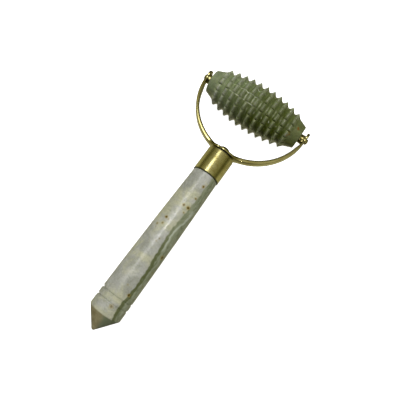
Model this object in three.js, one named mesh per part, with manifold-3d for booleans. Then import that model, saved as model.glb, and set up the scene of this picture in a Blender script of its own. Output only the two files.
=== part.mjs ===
// Jade face roller: a tapered jade handle with a pointed butt, a brass ferrule glued on its top,
// a brass bow screwed to the ferrule, and a barrel of jade teeth that spins on an axle riveted
// between the bow's arms.
//
// Millimetres, +Z up. The tool lies on the plane z = 0 as it would on a table: the axle runs
// along X and the handle along Y, butt towards -Y. The origin is under the middle of the
// tool's bounding box. Inside the tool, places are given along the handle's own axis, where
// y = 0 is the ferrule's top face.

import * as THREE from "three";
import { mergeVertices } from "three/addons/utils/BufferGeometryUtils.js";
import Module from "manifold-3d";

const wasm = await Module();
wasm.setup();

// ---------------------------------------------------------------- driving dimensions

const ROUND_SIDES = 36; // sides of the handle and the ferrule
const SMALL_SIDES = 24; // sides of pins, bushes and washers
const GLUE_GAP = 0.3; // between a piece and the hole that it is glued or pressed into
const FACE_GAP = 0.12; // between two faces that rest on each other

const HANDLE = {
  shoulderY: -88, // where the conical butt starts
  shoulderRadius: 7.67,
  bellyRadius: 7.6, // control radius of the taper's curve, halfway up
  topRadius: 6.6,
  tipY: -97.4, // where the cone would come to a point
  tipRound: 1,
  grooveYs: [-83.05, -79.7],
  grooveDepth: 0.35,
  grooveWidth: 0.9,
};

const FERRULE = { radius: 6.9, wall: 0.85, length: 12.6, roof: 1, edge: 0.4 };

const ADHESIVE = { radius: 7.02, thickness: 0.55 };

const INSERT = { radius: 2.2, length: 15, top: -1.7 };

const SCREW = {
  radius: 1.25,
  length: 12,
  chamfer: 0.3,
  headRadius: 2.8,
  headRim: 0.5,
  headHeight: 2.2,
};

const SEAT_WASHER = { radius: 4.9, thickness: 0.76, hole: 1.6 };

const BOW = {
  radius: 29.7, // outside of the bend, centred on the axle
  seatY: 1, // underside of the flat seat
  seatRadius: 5.2,
  seatThickness: 1.1,
  shoulderHalf: 4.4, // half-width of the shoulders, where they leave the seat's disc
  shoulderStart: 3, // distances from the middle between which the shoulders narrow
  shoulderEnd: 9,
  width: 4.3,
  thickness: 1.75,
  eyeThickness: 1.2,
  eyeRadius: 2.9,
  eyeRise: 1.5, // from the axle to the middle of the rounded eye
  eyeFlatStart: 9, // distances below the eye's middle between which the arm flattens
  eyeFlatEnd: 3,
  bevel: 0.25,
};

const AXLE = { y: 30.4, radius: 0.9, headRadius: 1.5, headRim: 0.25, headHeight: 1 };

const ROLLER = {
  halfLength: 26.05,
  endRadius: 5.87,
  endChamfer: 0.5,
  coneRootX: 21.7, // where the smooth end cone meets the first ring of teeth
  coneRootRadius: 7.5,
  rings: 11,
  ringPitch: 3.946,
  rows: 16,
  crestRadius: 12.27, // over the teeth, at the middle of the barrel
  crestFall: 2.62, // how much lower the last ring's teeth are
  valleyRadius: 10.4,
  valleyFall: 2.12,
  valleyFloor: 0.9,
  cutWidth: 1.4, // of the cuts along the barrel, at the crests
  cutRise: 0.25, // how far the cuts' floor stands above the valleys' floor
  boreRadius: 1.9,
  turn: 2, // degrees: how far the free roller stands turned
};

const BUSH = { radius: 1.6, hole: 1.2, length: 8, flangeRadius: 2.3, flange: 0.6 };

const PIN_WASHER = { radius: 2.4, hole: 1.2, thickness: 1.1, x: 27.08 };

const EYE_HOLE = 1.2;
const SCREW_HOLE = 1.6;

// ---------------------------------------------------------------- materials

const jade = (name, color, roughness) =>
  new THREE.MeshStandardMaterial({ name, color, roughness, metalness: 0 });

const handleJade = jade("handle_jade", 0xa3a699, 0.35);
const rollerJade = jade("roller_jade", 0x6b7a55, 0.35);
const brass = new THREE.MeshStandardMaterial({ name: "brass", color: 0xa89a4a, roughness: 0.25 });
brass.metalness = 1;
const darkGlue = new THREE.MeshStandardMaterial({ name: "glue", color: 0x1d2216, roughness: 0.5 });
const fibre = new THREE.MeshStandardMaterial({ name: "fibre", color: 0x171614, roughness: 0.9 });

// ---------------------------------------------------------------- helpers

const point = (x, y) => new THREE.Vector2(x, y);

// Points along an arc in the lathe's plane, from one angle to another, in degrees.
function arc(centreX, centreY, radius, from, to, steps) {
  const points = [];
  for (let i = 0; i <= steps; i++) {
    const angle = THREE.MathUtils.degToRad(THREE.MathUtils.lerp(from, to, i / steps));
    points.push(point(centreX + radius * Math.cos(angle), centreY + radius * Math.sin(angle)));
  }
  return points;
}

// A solid of revolution about Y. The profile runs anticlockwise in (radius, y).
const turned = (profile, sides) => new THREE.LatheGeometry(profile, sides);

// A ring of rectangular section about Y, open through the middle.
function ring(inner, outer, bottom, top, sides) {
  const corners = [
    point(inner, bottom),
    point(outer, bottom),
    point(outer, top),
    point(inner, top),
    point(inner, bottom),
  ];
  return turned(corners, sides);
}

function toSolid(geometry) {
  const bare = new THREE.BufferGeometry();
  bare.setAttribute("position", geometry.getAttribute("position"));
  bare.setIndex(geometry.getIndex());
  const merged = mergeVertices(bare, 1e-4);
  return new wasm.Manifold(
    new wasm.Mesh({
      numProp: 3,
      vertProperties: merged.getAttribute("position").array,
      triVerts: new Uint32Array(merged.getIndex().array),
    }),
  );
}

function toGeometry(solid) {
  const mesh = solid.getMesh();
  const geometry = new THREE.BufferGeometry();
  geometry.setAttribute("position", new THREE.BufferAttribute(mesh.vertProperties, 3));
  geometry.setIndex(new THREE.BufferAttribute(mesh.triVerts, 1));
  geometry.computeVertexNormals();
  return geometry;
}

// A drill through a piece: a long cylinder about the given axis, at the given place.
function drill(radius, length, axis, place) {
  const cylinder = new THREE.CylinderGeometry(radius, radius, length, SMALL_SIDES);
  if (axis === "x") cylinder.rotateZ(Math.PI / 2);
  cylinder.translate(place.x, place.y, 0);
  return toSolid(cylinder);
}

function named(name, geometry, material) {
  const mesh = new THREE.Mesh(geometry, material);
  mesh.name = name;
  return mesh;
}

// ---------------------------------------------------------------- handle and ferrule

// The handle's radius at a height: a quadratic taper from the shoulder to the top.
function handleRadius(y, topY) {
  const t = (y - HANDLE.shoulderY) / (topY - HANDLE.shoulderY);
  const lower = THREE.MathUtils.lerp(HANDLE.shoulderRadius, HANDLE.bellyRadius, t);
  const upper = THREE.MathUtils.lerp(HANDLE.bellyRadius, HANDLE.topRadius, t);
  return THREE.MathUtils.lerp(lower, upper, t);
}

function handleGeometry() {
  const topY = -FERRULE.length - ADHESIVE.thickness - 2 * FACE_GAP;
  const spigotRadius = FERRULE.radius - FERRULE.wall - GLUE_GAP;
  const spigotTop = -FERRULE.roof - GLUE_GAP;
  const boreRadius = INSERT.radius + GLUE_GAP;
  const boreFloor = INSERT.top - INSERT.length - 1;

  // The butt's cone, ending in a small ball that the cone touches.
  const halfAngle = Math.atan2(HANDLE.shoulderRadius, HANDLE.shoulderY - HANDLE.tipY);
  const ballY = HANDLE.tipY + HANDLE.tipRound / Math.sin(halfAngle);
  const touch = -THREE.MathUtils.radToDeg(halfAngle);
  const profile = arc(0, ballY, HANDLE.tipRound, -90, touch, 4);
  profile[0].x = 0;
  profile.push(point(HANDLE.shoulderRadius, HANDLE.shoulderY));

  for (const y of HANDLE.grooveYs) {
    const radius = handleRadius(y, topY);
    profile.push(point(radius, y - HANDLE.grooveWidth / 2));
    profile.push(point(radius - HANDLE.grooveDepth, y));
    profile.push(point(radius, y + HANDLE.grooveWidth / 2));
  }
  const taperSteps = 6;
  const taperStart = HANDLE.grooveYs.at(-1) + HANDLE.grooveWidth;
  for (let i = 1; i <= taperSteps; i++) {
    const y = THREE.MathUtils.lerp(taperStart, topY, i / taperSteps);
    profile.push(point(handleRadius(y, topY), y));
  }
  profile.push(point(spigotRadius, topY));
  profile.push(point(spigotRadius, spigotTop));
  profile.push(point(boreRadius, spigotTop));
  profile.push(point(boreRadius, boreFloor));
  profile.push(point(0, boreFloor - boreRadius / 2));
  return turned(profile, ROUND_SIDES);
}

function ferruleGeometry() {
  const inner = FERRULE.radius - FERRULE.wall;
  const { radius, edge, length, roof } = FERRULE;
  const profile = [
    point(SCREW_HOLE, -roof),
    point(inner, -roof),
    point(inner, -length),
    point(radius - edge / 2, -length),
    point(radius, -length + edge / 2),
    ...arc(radius - edge, -edge, edge, 0, 90, 3),
    point(SCREW_HOLE, 0),
    point(SCREW_HOLE, -roof),
  ];
  return turned(profile, ROUND_SIDES);
}

function adhesiveGeometry() {
  const inner = FERRULE.radius - FERRULE.wall - GLUE_GAP + FACE_GAP;
  const top = -FERRULE.length - FACE_GAP;
  const bottom = top - ADHESIVE.thickness;
  const bulge = ADHESIVE.thickness / 2;
  const profile = [
    point(inner, bottom),
    ...arc(ADHESIVE.radius - bulge, bottom + bulge, bulge, -90, 90, 4),
    point(inner, top),
    point(inner, bottom),
  ];
  return turned(profile, ROUND_SIDES);
}

function insertGeometry() {
  const bottom = INSERT.top - INSERT.length;
  return ring(SCREW.radius + GLUE_GAP, INSERT.radius, bottom, INSERT.top, SMALL_SIDES);
}

// A dome-headed screw whose head stands on the bow's seat.
function screwGeometry() {
  const headY = BOW.seatY + BOW.seatThickness + FACE_GAP;
  const domeRise = SCREW.headHeight - SCREW.headRim;
  const profile = [
    point(0, -SCREW.length),
    point(SCREW.radius - SCREW.chamfer, -SCREW.length),
    point(SCREW.radius, -SCREW.length + SCREW.chamfer),
    point(SCREW.radius, headY),
    point(SCREW.headRadius, headY),
  ];
  const steps = 5;
  for (let i = 0; i < steps; i++) {
    const angle = (Math.PI / 2) * (i / steps);
    const y = headY + SCREW.headRim + domeRise * Math.sin(angle);
    profile.push(point(SCREW.headRadius * Math.cos(angle), y));
  }
  profile.push(point(0, headY + SCREW.headHeight));
  return turned(profile, SMALL_SIDES);
}

// ---------------------------------------------------------------- bow

const smooth = (from, to, value) => THREE.MathUtils.smoothstep(value, from, to);

// Half the strip's width at a distance from the bow's middle, and from the eye's middle.
function bowHalfWidth(fromSeat, fromEye) {
  const half = BOW.width / 2;
  if (fromSeat < BOW.shoulderEnd) {
    const disc = Math.sqrt(Math.max(BOW.seatRadius ** 2 - fromSeat ** 2, 0));
    const narrowing = smooth(BOW.shoulderStart, BOW.shoulderEnd, fromSeat);
    return Math.max(disc, THREE.MathUtils.lerp(BOW.shoulderHalf, half, narrowing));
  }
  const eye = Math.sqrt(Math.max(BOW.eyeRadius ** 2 - fromEye ** 2, 0));
  return fromEye > 0 ? eye : Math.max(eye, half);
}

// One cross-section of the bow, at an angle round the bend from its foot, then up the eye.
function bowSection(angle, eyeHeight, side) {
  const { radius, seatY } = BOW;
  const outward = new THREE.Vector2(side * Math.sin(angle), -Math.cos(angle));
  const outer = new THREE.Vector2(radius * outward.x, AXLE.y + radius * outward.y + eyeHeight);
  const onSeat = outer.y < seatY;
  if (onSeat) {
    outer.y = seatY;
    outward.set(0, -1);
  }
  const arcLength = radius * angle;
  const pressed = smooth(BOW.seatRadius - 1, BOW.shoulderEnd, arcLength);
  const eyeMiddle = radius * (Math.PI / 2) + BOW.eyeRise;
  const fromEye = arcLength + eyeHeight - eyeMiddle;
  const arm = THREE.MathUtils.lerp(BOW.seatThickness, BOW.thickness, pressed);
  const flattened = smooth(-BOW.eyeFlatStart, -BOW.eyeFlatEnd, fromEye);
  const thickness = THREE.MathUtils.lerp(arm, BOW.eyeThickness, flattened);
  return { outer, outward, thickness, half: bowHalfWidth(arcLength, fromEye) };
}

// The eight corners of a section: a rectangle with its four edges bevelled.
function sectionCorners({ outer, outward, thickness, half }) {
  const bevel = Math.min(BOW.bevel, half / 2);
  const across = [
    [0, half - bevel],
    [bevel, half],
    [thickness - bevel, half],
    [thickness, half - bevel],
    [thickness, bevel - half],
    [thickness - bevel, -half],
    [bevel, -half],
    [0, bevel - half],
  ];
  return across.map(([depth, z]) => [
    outer.x - outward.x * depth,
    outer.y - outward.y * depth,
    z,
  ]);
}

function bowSections() {
  const quarter = Math.PI / 2;
  const eyeTop = BOW.eyeRise + BOW.eyeRadius;
  const halfBow = [];
  for (const distance of [0, 1.2, 2.4, 3.4, 4.4, 5.2, 6, 7, 8, 9]) {
    halfBow.push([distance / BOW.radius, 0]);
  }
  const bendSteps = 13;
  const bendStart = BOW.shoulderEnd / BOW.radius;
  for (let i = 1; i <= bendSteps; i++) {
    halfBow.push([THREE.MathUtils.lerp(bendStart, quarter, i / bendSteps), 0]);
  }
  // Heights up the eye, closer together towards its rounded end.
  const eyeSteps = 7;
  for (let i = 1; i <= eyeSteps; i++) {
    halfBow.push([quarter, eyeTop * Math.sin(quarter * (i / (eyeSteps + 0.35)))]);
  }
  const left = halfBow.slice(1).reverse();
  return [
    ...left.map(([angle, height]) => bowSection(angle, height, -1)),
    ...halfBow.map(([angle, height]) => bowSection(angle, height, 1)),
  ];
}

// Joins a list of closed sections of equal size into one closed surface with flat ends.
function loft(sections) {
  const size = sections[0].length;
  const indices = [];
  for (let s = 0; s + 1 < sections.length; s++) {
    for (let c = 0; c < size; c++) {
      const here = s * size + c;
      const beside = s * size + ((c + 1) % size);
      indices.push(here, here + size, beside, beside, here + size, beside + size);
    }
  }
  const last = (sections.length - 1) * size;
  for (let c = 1; c + 1 < size; c++) {
    indices.push(0, c, c + 1);
    indices.push(last, last + c + 1, last + c);
  }
  const geometry = new THREE.BufferGeometry();
  geometry.setAttribute("position", new THREE.Float32BufferAttribute(sections.flat(2), 3));
  geometry.setIndex(indices);
  return geometry;
}

function bowGeometry() {
  let bow = toSolid(loft(bowSections().map(sectionCorners)));
  bow = bow.subtract(drill(SCREW_HOLE, 8, "y", point(0, 0)));
  bow = bow.subtract(drill(EYE_HOLE, 80, "x", point(0, AXLE.y)));
  return toGeometry(bow);
}

// ---------------------------------------------------------------- roller

// The rings are numbered from -LAST_RING to LAST_RING, with ring 0 at the middle.
const LAST_RING = (ROLLER.rings - 1) / 2;
const LAST_RING_X = LAST_RING * ROLLER.ringPitch;
const LAST_VALLEY_X = LAST_RING_X - ROLLER.ringPitch / 2;

const crestAt = (x) => ROLLER.crestRadius - ROLLER.crestFall * (x / LAST_RING_X) ** 2;
const valleyAt = (x) => ROLLER.valleyRadius - ROLLER.valleyFall * (x / LAST_VALLEY_X) ** 2;

// Stations along the barrel: where they are, their radius, and whether the long cuts reach them.
function barrelStations() {
  const { halfLength, endRadius, endChamfer, coneRootX, coneRootRadius, boreRadius } = ROLLER;
  const end = [
    { x: halfLength, radius: boreRadius },
    { x: halfLength, radius: endRadius - endChamfer },
    { x: halfLength - endChamfer, radius: endRadius },
    { x: coneRootX, radius: coneRootRadius },
  ];
  const stations = end.map(({ x, radius }) => ({ x: -x, radius }));
  for (let k = -LAST_RING; k <= LAST_RING; k++) {
    const x = k * ROLLER.ringPitch;
    stations.push({ x, radius: crestAt(x), cut: true });
    if (k === LAST_RING) break;
    const valleyX = x + ROLLER.ringPitch / 2;
    for (const edge of [-ROLLER.valleyFloor / 2, ROLLER.valleyFloor / 2]) {
      stations.push({ x: valleyX + edge, radius: valleyAt(valleyX) });
    }
  }
  stations.push(...end.reverse());
  return stations;
}

// The toothed barrel about X, with its bore: rings of teeth parted by cuts along the barrel.
function rollerGeometry() {
  const stations = barrelStations();
  const rowAngle = (2 * Math.PI) / ROLLER.rows;
  const cutAngle = ROLLER.cutWidth / 2 / ROLLER.crestRadius;
  const positions = [];
  for (const { x, radius, cut } of stations) {
    const floor = cut ? valleyAt(x) + ROLLER.cutRise : radius;
    for (let row = 0; row < ROLLER.rows; row++) {
      const middle = row * rowAngle;
      for (const [angle, r] of [
        [middle, floor],
        [middle + cutAngle, radius],
        [middle + rowAngle - cutAngle, radius],
      ]) {
        positions.push(x, r * Math.cos(angle), r * Math.sin(angle));
      }
    }
  }
  const around = ROLLER.rows * 3;
  const indices = [];
  for (let s = 0; s < stations.length; s++) {
    const next = (s + 1) % stations.length; // the last station joins the first through the bore
    for (let a = 0; a < around; a++) {
      const b = (a + 1) % around;
      const [p, q] = [s * around + a, s * around + b];
      const [u, v] = [next * around + a, next * around + b];
      indices.push(p, q, u, q, v, u);
    }
  }
  const geometry = new THREE.BufferGeometry();
  geometry.setAttribute("position", new THREE.Float32BufferAttribute(positions, 3));
  geometry.setIndex(indices);
  return geometry;
}

// A flanged bush about Y: its flange lies on the roller's end, at the given height.
function bushGeometry(endY) {
  const flangeY = endY + FACE_GAP;
  const profile = [
    point(BUSH.hole, endY - BUSH.length),
    point(BUSH.radius, endY - BUSH.length),
    point(BUSH.radius, flangeY),
    point(BUSH.flangeRadius, flangeY),
    point(BUSH.flangeRadius, flangeY + BUSH.flange),
    point(BUSH.hole, flangeY + BUSH.flange),
    point(BUSH.hole, endY - BUSH.length),
  ];
  return turned(profile, SMALL_SIDES);
}

// The axle about Y: a rod with a domed head formed outside each eye.
function axleGeometry() {
  const headY = BOW.radius + FACE_GAP;
  const steps = 4;
  const upper = [point(AXLE.radius, headY)];
  for (let i = 0; i < steps; i++) {
    const angle = (Math.PI / 2) * (i / steps);
    const y = headY + AXLE.headRim + (AXLE.headHeight - AXLE.headRim) * Math.sin(angle);
    upper.push(point(AXLE.headRadius * Math.cos(angle), y));
  }
  upper.splice(1, 0, point(AXLE.headRadius, headY));
  upper.push(point(0, headY + AXLE.headHeight));
  const lower = upper.map(({ x, y }) => point(x, -y)).reverse();
  return turned([...lower, ...upper], SMALL_SIDES);
}

// ---------------------------------------------------------------- assembly

function handleGroup() {
  const group = new THREE.Group();
  group.add(
    named("handle", handleGeometry(), handleJade),
    named("handle_insert", insertGeometry(), brass),
    named("adhesive_ring", adhesiveGeometry(), darkGlue),
    named("ferrule", ferruleGeometry(), brass),
  );
  return group;
}

function bowGroup() {
  const { radius, thickness, hole } = SEAT_WASHER;
  const washer = ring(hole, radius, FACE_GAP, FACE_GAP + thickness, SMALL_SIDES);
  const group = new THREE.Group();
  group.add(
    named("seat_washer", washer, fibre),
    named("bow", bowGeometry(), brass),
    named("bow_screw", screwGeometry(), brass),
  );
  return group;
}

// The axle with its washers. The group's own Y axis is the axle, laid along X.
function axleGroup() {
  const { radius, hole, thickness, x } = PIN_WASHER;
  const washer = ring(hole, radius, x, x + thickness, SMALL_SIDES);
  const group = new THREE.Group();
  const rightWasher = named("washer_right", washer, brass);
  const leftWasher = named("washer_left", washer, brass);
  leftWasher.rotation.x = Math.PI;
  group.add(named("axle", axleGeometry(), brass), rightWasher, leftWasher);
  group.position.y = AXLE.y;
  group.rotation.z = -Math.PI / 2;
  return group;
}

// Everything that spins: the jade barrel and the bush glued into each of its ends.
function rollerGroup() {
  const bushes = new THREE.Group();
  const rightBush = named("bush_right", bushGeometry(ROLLER.halfLength), brass);
  const leftBush = named("bush_left", bushGeometry(ROLLER.halfLength), brass);
  leftBush.rotation.x = Math.PI;
  bushes.add(rightBush, leftBush);
  bushes.rotation.z = -Math.PI / 2;

  const group = new THREE.Group();
  group.add(named("roller", rollerGeometry(), rollerJade), bushes);
  group.position.y = AXLE.y;
  group.rotation.x = THREE.MathUtils.degToRad(ROLLER.turn);
  return group;
}

// The whole tool, laid down so that the handle's shoulder and the roller's teeth both touch z = 0.
function layDown(tool) {
  const reach = AXLE.y - HANDLE.shoulderY;
  tool.rotation.x = Math.asin((ROLLER.crestRadius - HANDLE.shoulderRadius) / reach);
  const lying = new THREE.Group();
  lying.add(tool);
  lying.updateMatrixWorld(true);
  const box = new THREE.Box3().setFromObject(lying, true);
  const middle = box.getCenter(new THREE.Vector3());
  tool.position.set(-middle.x, -middle.y, -box.min.z);
  return lying;
}

const tool = new THREE.Group();
tool.add(handleGroup(), bowGroup(), axleGroup(), rollerGroup());

export default layDown(tool);
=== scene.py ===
import math

import bpy
from mathutils import Matrix, Vector, noise


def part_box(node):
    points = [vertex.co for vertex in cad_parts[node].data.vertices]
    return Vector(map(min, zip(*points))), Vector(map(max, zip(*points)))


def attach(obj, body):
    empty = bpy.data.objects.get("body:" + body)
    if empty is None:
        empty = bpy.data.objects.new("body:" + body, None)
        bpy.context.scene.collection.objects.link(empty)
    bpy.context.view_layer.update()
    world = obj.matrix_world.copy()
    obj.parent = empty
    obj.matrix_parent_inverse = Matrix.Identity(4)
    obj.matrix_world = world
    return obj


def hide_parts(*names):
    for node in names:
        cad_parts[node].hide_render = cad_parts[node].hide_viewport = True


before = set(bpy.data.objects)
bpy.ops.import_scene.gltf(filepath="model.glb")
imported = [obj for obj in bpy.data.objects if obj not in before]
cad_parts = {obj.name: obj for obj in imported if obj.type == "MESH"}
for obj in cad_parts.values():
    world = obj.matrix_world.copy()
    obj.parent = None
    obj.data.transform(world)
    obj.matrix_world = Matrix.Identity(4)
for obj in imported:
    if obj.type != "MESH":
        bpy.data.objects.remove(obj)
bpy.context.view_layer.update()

# The looks of a jade face roller. Shapes are worked out in millimetres in the tool's own frame:
# Y runs along the handle's axis and is 0 at the ferrule's top face, X runs along the axle, and
# Z is up, away from the table. tool_to_row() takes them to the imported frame, in metres.

MM = 0.001

# ---- sizes in millimetres

AXLE_Y = 30.4

HANDLE = {
    "shoulder_y": -88.0, "shoulder_radius": 7.67, "belly_radius": 7.6, "top_radius": 6.6,
    "top_y": -13.22, "tip_y": -97.4, "tip_round": 1.0, "spigot_radius": 5.75,
    "spigot_top": -1.3, "bore_radius": 2.5, "bore_floor": -17.7,
    "groove_ys": (-83.05, -79.7), "groove_depth": 0.38, "groove_half": 0.5, "groove_lean": 0.7,
}
FERRULE = {"radius": 6.9, "wall": 0.85, "length": 12.72, "roof": 1.0, "edge": 0.3, "hole": 1.6}
ADHESIVE = {"radius": 6.93, "inner": 5.87, "bottom": -13.18, "top": -12.76}
SEAT_WASHER = {"radius": 4.6, "hole": 1.6, "bottom": 0.12, "top": 1.1}
BOW = {
    # crown and edge are the rounding of a corner, through the thickness and across the width.
    "radius": 29.7, "seat_y": 1.22, "seat_radius": 5.2, "seat_thickness": 1.1,
    "shoulder_half": 4.4, "shoulder_start": 3.0, "shoulder_end": 9.0, "width": 4.3,
    "thickness": 1.75, "eye_thickness": 1.2, "eye_radius": 2.9, "eye_rise": 1.5,
    "flat_start": 9.0, "flat_end": 3.0, "edge": 0.22, "crown": 0.75, "eye_hole": 1.2,
    "screw_hole": 1.6,
}
SCREW = {
    "radius": 1.25, "length": 12.0, "head_y": 2.4, "head_radius": 2.8, "head_rim": 0.5,
    "head_height": 2.2,
}
AXLE = {"radius": 0.9, "head_x": 29.82, "head_radius": 1.5, "head_rim": 0.25, "head_height": 1.0}
PIN_WASHER = {"radius": 2.4, "hole": 1.2, "inner_x": 26.98, "outer_x": 28.4}
BUSH = {"radius": 1.6, "hole": 1.2, "length": 8.0, "flange_radius": 2.3, "flange_x": 26.1,
        "flange": 0.82}
ROLLER = {
    "half_length": 26.05, "end_radius": 5.87, "end_round": 0.45, "root_x": 21.7,
    "root_radius": 7.5, "rings": 11, "pitch": 3.946, "rows": 16, "crest_radius": 12.27,
    "crest_fall": 2.62, "valley_radius": 10.4, "valley_fall": 2.12, "bore_radius": 1.9,
    # The rings: a valley's flat floor, its dish, and how worn a crest is.
    "floor_share": 0.14, "floor_bend": 0.35, "floor_reach": 0.3, "crest_soft": 0.07,
    "flank_hollow": 1.3, "end_flank_hollow": 0.8,
    # The gap between two teeth of a ring, its saw line, and how it blends into the flanks.
    "shoulder": 1.15, "gap_share": 0.8, "gap_soft": 0.16, "kerf_half": 0.1, "kerf_depth": 0.06,
    # The rows' place in degrees round, and how far they skew in degrees a millimetre along.
    "turn": 3.3, "skew": 0.2,
}


# ---- the tool's frame

def centre(node):
    low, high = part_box(node)
    return (low + high) / 2


def tool_to_row():
    """The matrix from the tool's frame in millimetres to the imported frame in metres."""
    axle, washer = centre("axle"), centre("seat_washer")
    along = (axle - washer).normalized()
    across = Vector((1, 0, 0))
    origin = axle - along * (AXLE_Y * MM)
    turn = Matrix((across, along, across.cross(along))).transposed().to_4x4()
    return Matrix.Translation(origin) @ turn @ Matrix.Scale(MM, 4)


TOOL = tool_to_row()


# ---- mesh helpers

def smoothstep(low, high, value):
    t = min(max((value - low) / (high - low), 0.0), 1.0)
    return t * t * (3 - 2 * t)


def mix(a, b, t):
    return a + (b - a) * t


def arc(centre_x, centre_y, radius, start, end, steps):
    """Points (x, y) along an arc from one angle to another, in degrees."""
    points = []
    for i in range(steps + 1):
        angle = math.radians(mix(start, end, i / steps))
        points.append((centre_x + radius * math.cos(angle), centre_y + radius * math.sin(angle)))
    return points


def refine(profile, step):
    """The same profile with its long straight stretches cut into pieces no longer than step."""
    points = [profile[0]]
    for (x0, y0), (x1, y1) in zip(profile, profile[1:]):
        count = max(1, math.ceil(math.hypot(x1 - x0, y1 - y0) / step))
        for i in range(1, count + 1):
            points.append((mix(x0, x1, i / count), mix(y0, y1, i / count)))
    return points


def grid_faces(rows, columns, close_rows=False):
    """Quads between rows of points, each row a closed ring."""
    faces = []
    for row in range(rows if close_rows else rows - 1):
        after = (row + 1) % rows
        for column in range(columns):
            beside = (column + 1) % columns
            faces.append((row * columns + column, row * columns + beside,
                          after * columns + beside, after * columns + column))
    return faces


def surface_point(radius, y, angle):
    """A point at a radius from Y, at an angle from Z towards X."""
    return (radius * math.sin(angle), y, radius * math.cos(angle))


def lathe(profile, sides, wobble=None):
    """A solid of revolution about Y from a profile of (radius, y) run upwards round its outside.
    A profile that starts and ends off the axis is a ring, and closes on itself. wobble moves a
    point's radius."""
    is_ring = profile[0][0] > 0
    inner = profile if is_ring else profile[1:-1]
    vertices = []
    for radius, y in inner:
        for side in range(sides):
            angle = 2 * math.pi * side / sides
            r = radius if wobble is None else wobble(radius, y, angle)
            vertices.append(surface_point(r, y, angle))
    faces = grid_faces(len(inner), sides, close_rows=is_ring)
    if not is_ring:
        last = (len(inner) - 1) * sides
        vertices += [(0, profile[0][1], 0), (0, profile[-1][1], 0)]
        bottom, top = len(vertices) - 2, len(vertices) - 1
        for side in range(sides):
            beside = (side + 1) % sides
            faces.append((bottom, beside, side))
            faces.append((top, last + side, last + beside))
    return vertices, faces


def rough(point, size, seed):
    """Smooth noise from -1 to 1 at a point in millimetres, with features of about that size."""
    return noise.noise(Vector(point) / size + Vector((seed, seed, seed)))


def along_axle(shape):
    """Turns a shape made about Y so that it lies about the axle, with its Y along X."""
    vertices, faces = shape
    return [(y, AXLE_Y - x, z) for x, y, z in vertices], faces


def mirrored(shape):
    vertices, faces = shape
    return [(-x, y, z) for x, y, z in vertices], [tuple(reversed(face)) for face in faces]


def in_scene(name, data):
    made = bpy.data.objects.new(name, data)
    bpy.context.scene.collection.objects.link(made)
    return made


def mesh_of(name, shape):
    """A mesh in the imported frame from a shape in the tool's."""
    vertices, faces = shape
    mesh = bpy.data.meshes.new(name)
    mesh.from_pydata([tuple(v) for v in vertices], [], faces)
    mesh.transform(TOOL)
    return mesh


def piece(name, shape, node, body, material, crease):
    """A shape in the tool's frame becomes a piece that stands for a CAD node. Edges sharper than
    crease degrees stay sharp."""
    mesh = mesh_of(name, shape)
    mesh.polygons.foreach_set("use_smooth", [True] * len(mesh.polygons))
    mesh.set_sharp_from_angle(angle=math.radians(crease))
    mesh.materials.append(material)
    made = in_scene(name, mesh)
    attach(made, body)
    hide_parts(node)
    return made


def cut_away(made, cutter_shape):
    """Cuts a closed shape out of a piece, and leaves no trace of the cutter."""
    cutter = in_scene("cutter", mesh_of("cutter", cutter_shape))
    modifier = made.modifiers.new("cut", "BOOLEAN")
    modifier.operation = "DIFFERENCE"
    modifier.solver = "EXACT"
    modifier.object = cutter
    bpy.context.view_layer.update()
    graph = bpy.context.evaluated_depsgraph_get()
    result = bpy.data.meshes.new_from_object(made.evaluated_get(graph), depsgraph=graph)
    made.modifiers.clear()
    made.data = result
    bpy.data.objects.remove(cutter)


def rod(radius, start, end):
    """A plain closed rod about Y, for cutting holes."""
    return lathe([(0, start), (radius, start), (radius, end), (0, end)], 48)


# ---- handle

def handle_radius(y):
    """A quadratic taper from the shoulder to the top."""
    t = (y - HANDLE["shoulder_y"]) / (HANDLE["top_y"] - HANDLE["shoulder_y"])
    lower = mix(HANDLE["shoulder_radius"], HANDLE["belly_radius"], t)
    upper = mix(HANDLE["belly_radius"], HANDLE["top_radius"], t)
    return mix(lower, upper, t)


def groove_at(y, angle):
    """How deep the two grooves are here. They waver a little, as if they were ground by hand."""
    depth = 0.0
    for number, middle in enumerate(HANDLE["groove_ys"]):
        spot = surface_point(3, number * 9.0, angle)
        place = middle + 0.12 * rough(spot, size=2.5, seed=4.0)
        reach = HANDLE["groove_half"] * (1.15 + 0.25 * rough(spot, size=2.0, seed=9.0))
        across = abs(y - place) / reach
        if across < 1:
            share = (1 - across ** 2) ** 1.3
            one_side = 1 + HANDLE["groove_lean"] * smoothstep(0.2, 1.0, -math.sin(angle))
            uneven = one_side + 0.2 * rough(spot, size=1.5, seed=14.0)
            depth += HANDLE["groove_depth"] * share * uneven
    return depth


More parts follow.
